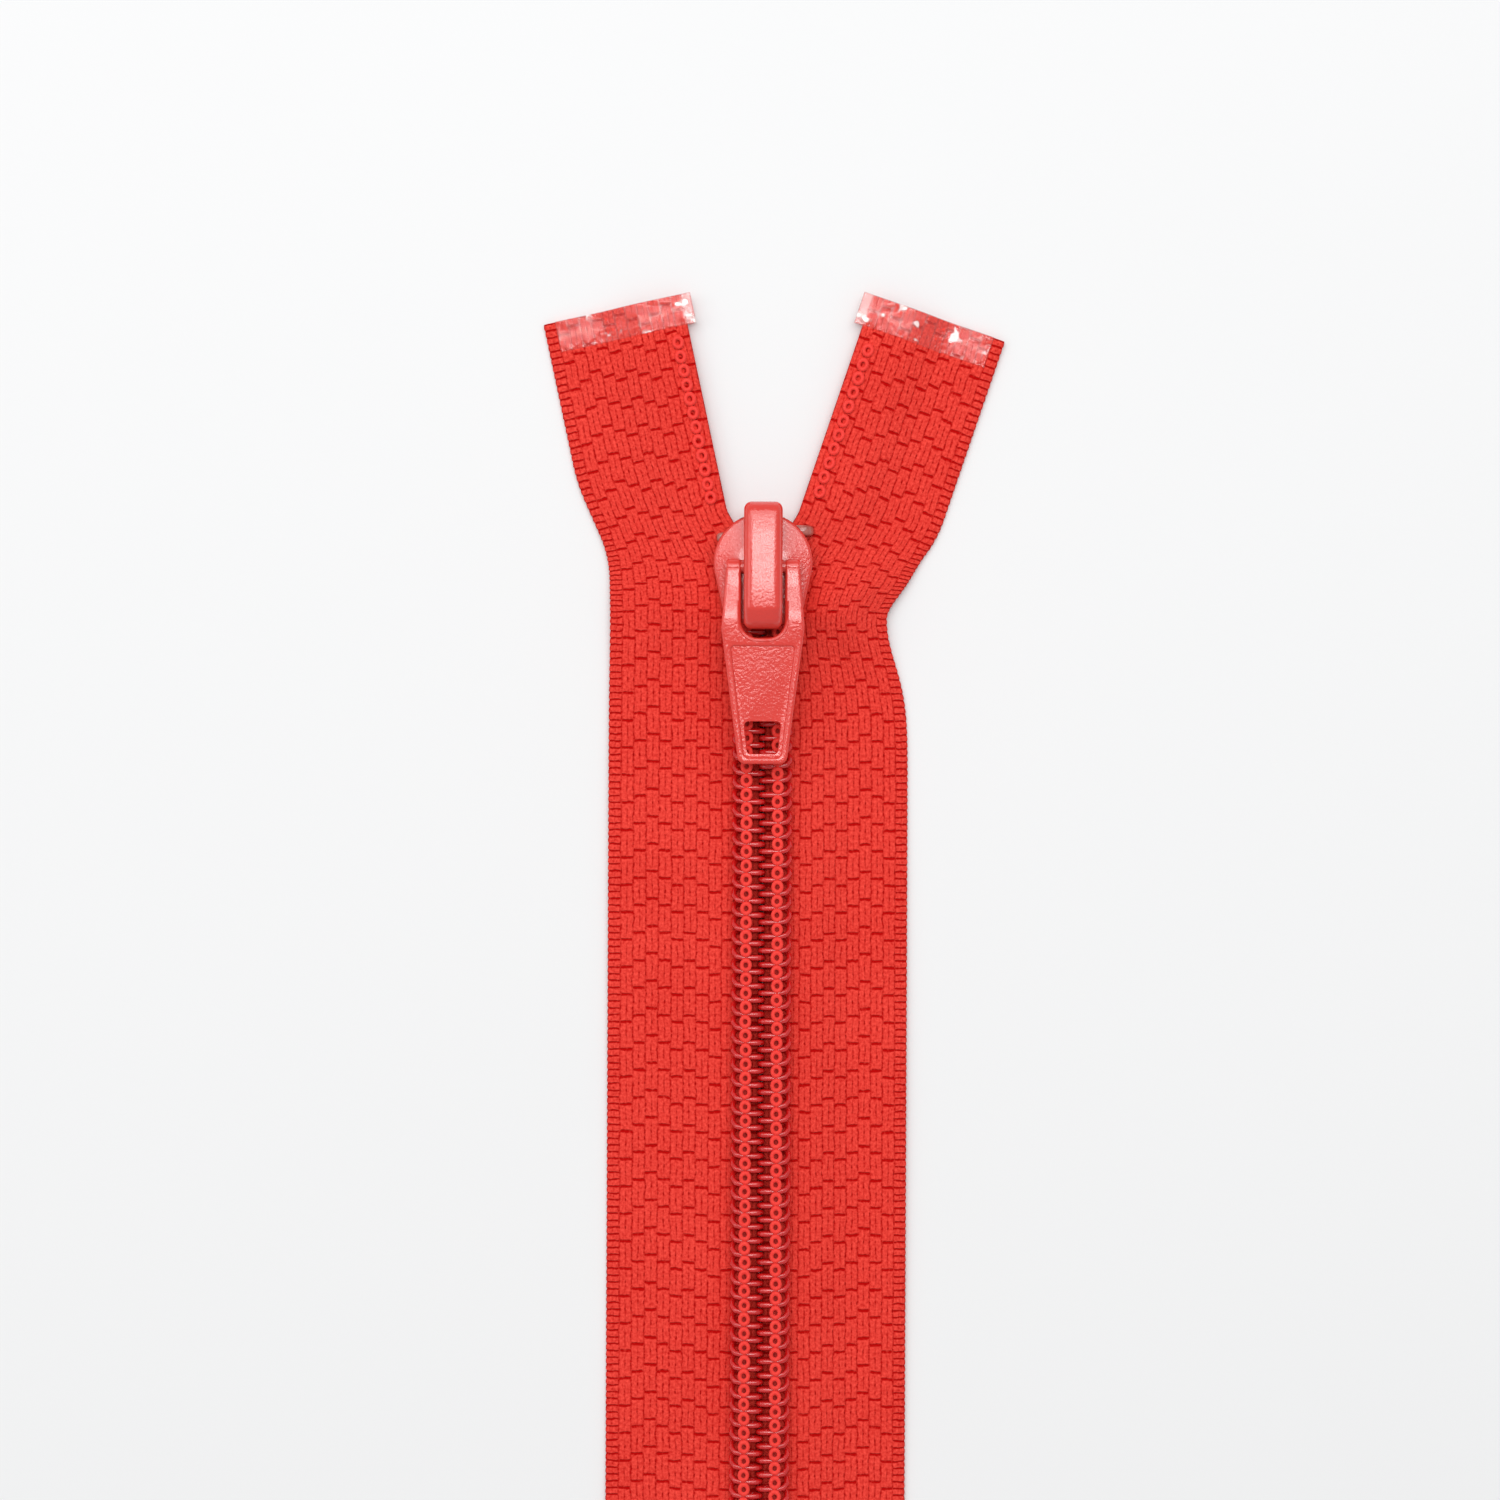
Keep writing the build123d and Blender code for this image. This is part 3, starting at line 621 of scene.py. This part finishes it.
# Reinforcing film: clear strips heat-pressed over each tape end, front and back. The press leaves
# shallow dents and a row of small arcs along the lower border, and a tab stands past the edge.
film_height = 3.2 * mm
film_inset = 1.3 * mm
film_tab = 1.0 * mm
film_thick = 0.1 * mm
film, tree, shader = finish("clear_film", (0.9, 0.20, 0.17), 0.10)
# Pale, more opaque patches: partly the film's own milkiness, partly painted highlights that stand in
# for its white glints.
milky_glint_patches = node(tree, "ShaderNodeMapRange", Value=mottle(tree, 650.0, 2.5), From_Min=0.60, From_Max=0.68)
tint(tree, shader, milky_glint_patches.outputs[0], (0.86, 0.14, 0.12), (1.0, 0.80, 0.77))
tree.links.new(
    math_node(tree, "ADD", 0.26, math_node(tree, "MULTIPLY", milky_glint_patches.outputs[0], 0.60)),
    shader.inputs["Alpha"],
)
bump(tree, shader, mottle(tree, 900.0, 3.0), 0.25 * mm, 1.0)
shader.inputs["Specular IOR Level"].default_value = 1.0
shader.inputs["Coat Weight"].default_value = 1.0
shader.inputs["Coat Roughness"].default_value = 0.05


def film_strip(name, side, body, low, high, inner, outer, face):
    """Film over the tape between two places along it, on its front (face 1) or back (face 0)."""
    bm = bmesh.new()
    cell = 0.12 * mm if high - low < 5 * mm else 0.24 * mm
    columns = round((outer - inner) / cell)
    rows = round((high - low) / cell)
    bmesh.ops.create_grid(bm, x_segments=columns, y_segments=rows, size=0.5)
    bmesh.ops.translate(bm, verts=bm.verts, vec=(0.5, 0.5, 0))
    grown = bmesh.ops.extrude_face_region(bm, geom=bm.faces[:])
    above = [v for v in grown["geom"] if isinstance(v, bmesh.types.BMVert)]
    bmesh.ops.translate(bm, verts=above, vec=(0, 0, 1))
    bmesh.ops.recalc_face_normals(bm, faces=bm.faces)
    if side == -1:
        bmesh.ops.reverse_faces(bm, faces=bm.faces)
    mesh = bpy.data.meshes.new(name)
    bm.to_mesh(mesh)
    bm.free()
    place = coordinates(mesh)
    across = inner + place[:, 0] * (outer - inner)
    along = low + place[:, 1] * (high - low)
    arc = np.hypot(np.mod(across, 1.25 * mm) - 0.62 * mm, along - low - 0.35 * mm)
    emboss = 0.05 * mm * bell((arc - 0.48 * mm) / (0.09 * mm)) * (along - low > 0.3 * mm)
    wavy = 0.03 * mm * np.sin(across / (0.9 * mm) + 2 * np.sin(along / (0.7 * mm)))
    outside = place[:, 2] if face else 1 - place[:, 2]
    lift = outside * (film_thick + emboss + wavy) + (tape_thick - 0.06 * mm if face else 0)
    lift = lift if face else np.maximum(0.06 * mm - lift, -0.01 * mm)
    mesh.vertices.foreach_set("co", np.stack(tape_point(side, across, along, lift), 1).ravel())
    mesh.update()
    piece = finish_piece(name, mesh, body, film)
    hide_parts(name)


for name, side in SIDES.items():
    for face, word in enumerate(("back", "front")):
        film_strip(
            f"top_film_{name}_{word}", side, f"{name}_half", chain_top - film_height,
            chain_top + 0.05 * mm, -film_tab, tape_width - film_inset, face,
        )
        film_strip(
            f"bottom_film_{name}_{word}", side, "bottom_end", tape_start, pin_end - film_thick,
            1.6 * mm, tape_width - film_inset, face,
        )

# Pins and retainer box: red acetal mouldings at the lower end. The right pin is fixed in the box,
# and the left one slides out of it when the jacket is opened.
moulding, tree, shader = finish("moulded_plastic", (0.62, 0.03, 0.025), 0.38)
tint(tree, shader, mottle(tree, 300.0, 3.0), (0.56, 0.022, 0.018), (0.68, 0.04, 0.03))
rough = node(tree, "ShaderNodeMapRange", Value=mottle(tree, 1200.0), To_Min=0.32, To_Max=0.48)
tree.links.new(rough.outputs[0], shader.inputs["Roughness"])
bump(tree, shader, mottle(tree, 3000.0, 3.0), 0.02 * mm, 0.5)
for name in ("insertion_pin", "retainer_pin", "retainer_box"):
    frame["nodes"][name].data.materials.clear()
    frame["nodes"][name].data.materials.append(moulding)

# Slider body: a zinc die casting, sprayed with glossy red enamel that dries with an orange-peel
# skin. Its head is domed a little, and has a small casting mark beside the cap.
enamel, tree, shader = finish("red_enamel", (0.74, 0.055, 0.042), 0.2)
tint(tree, shader, mottle(tree, 250.0, 3.0), (0.68, 0.034, 0.024), (0.78, 0.050, 0.035))
peel = mottle(tree, 3400.0, 2.0)
grit = bump(tree, shader, mottle(tree, 7000.0, 2.0), 0.004 * mm, 0.4)
bump(tree, shader, peel, 0.05 * mm, 1.0, under=grit)
rough = node(tree, "ShaderNodeMapRange", Value=mottle(tree, 900.0), To_Min=0.12, To_Max=0.24)
tree.links.new(rough.outputs[0], shader.inputs["Roughness"])
shader.inputs["Specular IOR Level"].default_value = 0.6
shader.inputs["Coat Weight"].default_value = 0.45
shader.inputs["Coat Roughness"].default_value = 0.08
wing_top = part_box("slider_cap")[0].z
head_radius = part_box("slider_body")[1].x
head_place = slider_front - head_radius


def crowned(mesh, low, high):
    """Lower the head's upper surface towards its edge, between those levels."""
    place = coordinates(mesh)
    ahead = place[:, 1] - head_place
    out = np.hypot(place[:, 0], np.where(ahead > 0, ahead, 0.35 * ahead))
    level = swell((place[:, 2] - low) / (high - low)) * (place[:, 2] < wing_top + 0.01 * mm)
    place[:, 2] -= 0.45 * mm * level * swell((out - 1.6 * mm) / (4.2 * mm))
    mesh.vertices.foreach_set("co", place.ravel())


def casting(name, step):
    """A merged copy of a CAD node's mesh, cut into strips that are fine enough to shape."""
    bm = bmesh.new()
    bm.from_mesh(frame["nodes"][name].data)
    bmesh.ops.remove_doubles(bm, verts=bm.verts, dist=1e-6)
    low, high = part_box(name)
    for axis in (0, 1):
        for place in np.arange(low[axis] + step / 2, high[axis], step):
            point, normal = Vector((0, 0, 0)), Vector((0, 0, 0))
            point[axis], normal[axis] = place, 1
            geom = bm.verts[:] + bm.edges[:] + bm.faces[:]
            bmesh.ops.bisect_plane(bm, geom=geom, dist=1e-7, plane_co=point, plane_no=normal)
    return bm


bm = casting("slider_body", 0.5 * mm)
mark_place = Vector((2.9 * mm, slider_front - 2.6 * mm, wing_top - 0.20 * mm))
mark = stitch_ring(0.26 * mm, 0.26 * mm, (0.07 * mm, 0.07 * mm), 16, 8)
bm.from_mesh(row_of(mark, [(mark_place, 0, 1)]))
mesh = bpy.data.meshes.new("slider_body")
bm.to_mesh(mesh)
bm.free()
crowned(mesh, wing_top - 0.5 * mm, wing_top - 0.3 * mm)
mesh.update()
piece = finish_piece("slider_body", mesh, "slider", enamel)
mesh.set_sharp_from_angle(angle=math.radians(32))
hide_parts("slider_body")

# Cap: pressed from the same alloy and enamelled with the body. It is a long rounded bridge, highest
# in the middle, with a crease where its rear end turns down, and openings for the pull's bar.
low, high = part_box("slider_cap")
cap_half, cap_top = high.x, high.z
cap_middle = low.y + 3.5 * mm
cap_corner = 0.9 * mm
side_round, front_round, rear_round = 0.95 * mm, 1.5 * mm, 1.0 * mm
bar_room = 1.1 * mm
seam = 0.001 * mm           # width of the row of faces that steps from skirt to bar opening
pivot = Vector(next(j["pos_m"] for j in frame["joints"] if j["name"] == "pull_hinge"))
rows = np.concatenate([
    low.y + cap_corner * (1 - np.cos(np.linspace(0, math.pi / 2, 9))),
    np.linspace(low.y + 1.1 * mm, pivot.y - bar_room - seam, 22),
    np.linspace(pivot.y - bar_room, pivot.y + bar_room, 10),
    np.linspace(pivot.y + bar_room + seam, high.y - 1.1 * mm, 18),
    high.y - cap_corner * (1 - np.cos(np.linspace(math.pi / 2, 0, 9))),
])


def fall(distance, radius):
    """How far a rounded edge of that radius has dropped, at a distance in from it."""
    inside = radius - min(distance, radius)
    return radius - math.sqrt(max(radius**2 - inside**2, 0))


bm = bmesh.new()
bmesh.ops.create_grid(bm, x_segments=22, y_segments=len(rows) - 1, size=1)
order = sorted({round(v.co.y, 5) for v in bm.verts})
for vert in bm.verts:
    y = rows[order.index(round(vert.co.y, 5))]
    half = cap_half - fall(min(y - low.y, high.y - y), cap_corner)
    x = half * math.sin(vert.co.x * math.pi / 2)
    level = cap_top - (0.10 if y > cap_middle else 0.35) * mm * ((y - cap_middle) / (5.4 * mm)) ** 2
    crease = low.y + 2.1 * mm
    level -= 0.52 * max(crease - y, 0)
    level -= fall(cap_half - abs(x), side_round)
    level -= 0.9 * (fall(high.y - y, front_round) + fall(y - low.y, rear_round))
    vert.co = (x, y, level)
rim = [e for e in bm.edges if e.is_boundary]
grown = bmesh.ops.extrude_edge_only(bm, edges=rim)
for vert in grown["geom"]:
    if isinstance(vert, bmesh.types.BMVert):
        at_bar = abs(vert.co.y - pivot.y) < bar_room + seam / 2
        foot = wing_top + 0.55 * mm if vert.co.y < slider_rear + 0.3 * mm else wing_top
        vert.co.z = pivot.z + 1.05 * mm if at_bar else foot
bmesh.ops.recalc_face_normals(bm, faces=bm.faces)
bmesh.ops.solidify(bm, geom=bm.faces[:], thickness=0.45 * mm)
bmesh.ops.recalc_face_normals(bm, faces=bm.faces)
mesh = bpy.data.meshes.new("slider_cap")
bm.to_mesh(mesh)
bm.free()
piece = finish_piece("slider_cap", mesh, "slider", enamel)
mesh.set_sharp_from_angle(angle=math.radians(50))
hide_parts("slider_cap")

# Lock spring: a leaf of bright spring steel under the cap, which lets its pawl down into the chain.
steel, tree, shader = finish("spring_steel", (0.55, 0.55, 0.56), 0.3)
place = tree.nodes.new("ShaderNodeTexCoord").outputs["Object"]
stretch = node(tree, "ShaderNodeMapping", Vector=place, Scale=(9000, 300, 9000))
grain = node(tree, "ShaderNodeTexNoise", Vector=stretch.outputs[0], Scale=1.0, Detail=3.0).outputs[0]
tint(tree, shader, grain, (0.42, 0.42, 0.43), (0.66, 0.66, 0.67))
shader.inputs["Metallic"].default_value = 1.0
frame["nodes"]["lock_spring"].data.materials.clear()
frame["nodes"]["lock_spring"].data.materials.append(steel)

# Pull: die-cast and enamelled. Its two arms hold the bar under the cap; below the eye a sunk panel
# lies inside a rim and runs down round the window at the free end.
pull_thick = 1.6                                    # in millimetres, as in the outlines below
pull_level = pivot.z - pull_thick / 2 * mm


def rounded(corners, radii, steps=7):
    """Closed outline through the corners, in millimetres from the pivot, each cut by an arc."""
    outline = []
    for n, (corner, radius) in enumerate(zip(corners, radii)):
        here, before, after = (Vector(corners[k % len(corners)]) for k in (n, n - 1, n + 1))
        if not radius:
            outline.append(here)
            continue
        a, b = (before - here).normalized(), (after - here).normalized()
        half = a.angle(b) / 2
        centre = here + (a + b).normalized() * radius / math.sin(half)
        start, end = (here + way * radius / math.tan(half) - centre for way in (a, b))
        swept = math.pi - 2 * half
        for k in range(steps + 1):
            shares = (math.sin(part * swept) / math.sin(swept) for part in (1 - k / steps, k / steps))
            first, last = shares
            outline.append(centre + start * first + end * last)
    return outline


def plate(name, outlines, low, high, edge):
    """Flat plate between two levels, in millimetres, with holes, and with rounded edges."""
    shape = bpy.data.curves.new(name, "CURVE")
    shape.dimensions = "2D"
    shape.fill_mode = "BOTH"
    shape.extrude = ((high - low) / 2 - edge) * mm
    shape.bevel_depth = edge * mm
    shape.bevel_resolution = 3
    shape.offset = -edge * mm
    for outline in outlines:
        spline = shape.splines.new("POLY")
        spline.points.add(len(outline) - 1)
        for point, corner in zip(spline.points, outline):
            point.co = (corner[0] * mm, pivot.y + corner[1] * mm, 0, 1)
        spline.use_cyclic_u = True
    maker = bpy.data.objects.new(name, shape)
    bpy.context.collection.objects.link(maker)
    mesh = bpy.data.meshes.new_from_object(maker.evaluated_get(bpy.context.evaluated_depsgraph_get()))
    bpy.data.objects.remove(maker)
    bpy.data.curves.remove(shape)
    mesh.transform(Matrix.Translation((0, 0, pull_level + (low + high) / 2 * mm)))
    return mesh


right = [(2.55, -20.8), (4.4, -6.5), (3.9, 0.0), (2.3, 0.0), (2.3, -7.5)]
left = [(-x, y) for x, y in reversed(right)]
outer = rounded(right + left, [0.9, 3.0, 0, 0, 1.75, 1.75, 0, 0, 3.0, 0.9])
sunk = [(-1.9, -20.05), (1.9, -20.05), (3.3, -8.45), (-3.3, -8.45)]
panel_hole = rounded(sunk, [0.6, 0.6, 0.25, 0.25])
panel = rounded([(x * 1.06, y + (0.15 if y > -15 else -0.15)) for x, y in sunk], [0.3] * 4)
window = rounded([(-1.6, -19.7), (1.6, -19.7), (1.95, -16.3), (-1.95, -16.3)], [0.45] * 4)
bm = bmesh.new()
bm.from_mesh(plate("rim", [outer, panel_hole], 0, pull_thick, 0.3))
bm.from_mesh(plate("panel", [panel, window], 0.06, 1.42, 0.1))
lip = rounded([(-2.62, -3.6), (-2.62, -7.82), (2.62, -7.82), (2.62, -3.6)], [0, 2.0, 2.0, 0])
lip = np.array([(p[0] * mm, pivot.y + p[1] * mm, pull_level + 1.57 * mm) for p in lip])
bm.from_mesh(tube("lip", lip, 0.11 * mm, 8))
for reach, radius in (((-3.9, 3.9), 0.7), ((-3.9, -2.3), 0.8), ((2.3, 3.9), 0.8)):
    made = bmesh.ops.create_cone(
        bm, cap_ends=True, segments=32, radius1=radius * mm, radius2=radius * mm,
        depth=(reach[1] - reach[0]) * mm,
    )
    middle = Vector((sum(reach) / 2 * mm, pivot.y, pivot.z))
    turned = Matrix.Translation(middle) @ Matrix.Rotation(math.pi / 2, 4, "Y")
    bmesh.ops.transform(bm, matrix=turned, verts=made["verts"])
    if radius == 0.8:
        own = set(made["verts"])
        borders = [e for e in bm.edges if e.verts[0] in own and len(e.link_faces) == 2]
        ends = [e for e in borders if max(len(f.verts) for f in e.link_faces) > 20]
        bmesh.ops.bevel(
            bm, geom=ends, offset=0.25 * mm, offset_type="OFFSET", segments=4, profile=0.5,
            affect="EDGES", material=-1,
        )
for place in np.arange(-7.8, 0.1, 0.45):
    geom = bm.verts[:] + bm.edges[:] + bm.faces[:]
    point = Vector((0, pivot.y + place * mm, 0))
    bmesh.ops.bisect_plane(bm, geom=geom, dist=1e-7, plane_co=point, plane_no=(0, 1, 0))
for vert in bm.verts:
    if vert.co.z > pivot.z + 0.3 * mm:
        vert.co.z += 0.30 * mm * math.exp(-(((vert.co.y - pivot.y) / mm + 5.6) / 2.9) ** 2)
bmesh.ops.remove_doubles(bm, verts=bm.verts, dist=1e-7)
bmesh.ops.recalc_face_normals(bm, faces=bm.faces)
mesh = bpy.data.meshes.new("pull_tab")
bm.to_mesh(mesh)
bm.free()
piece = finish_piece("pull_tab", mesh, "pull", enamel)
mesh.set_sharp_from_angle(angle=math.radians(28))
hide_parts("pull_tab")
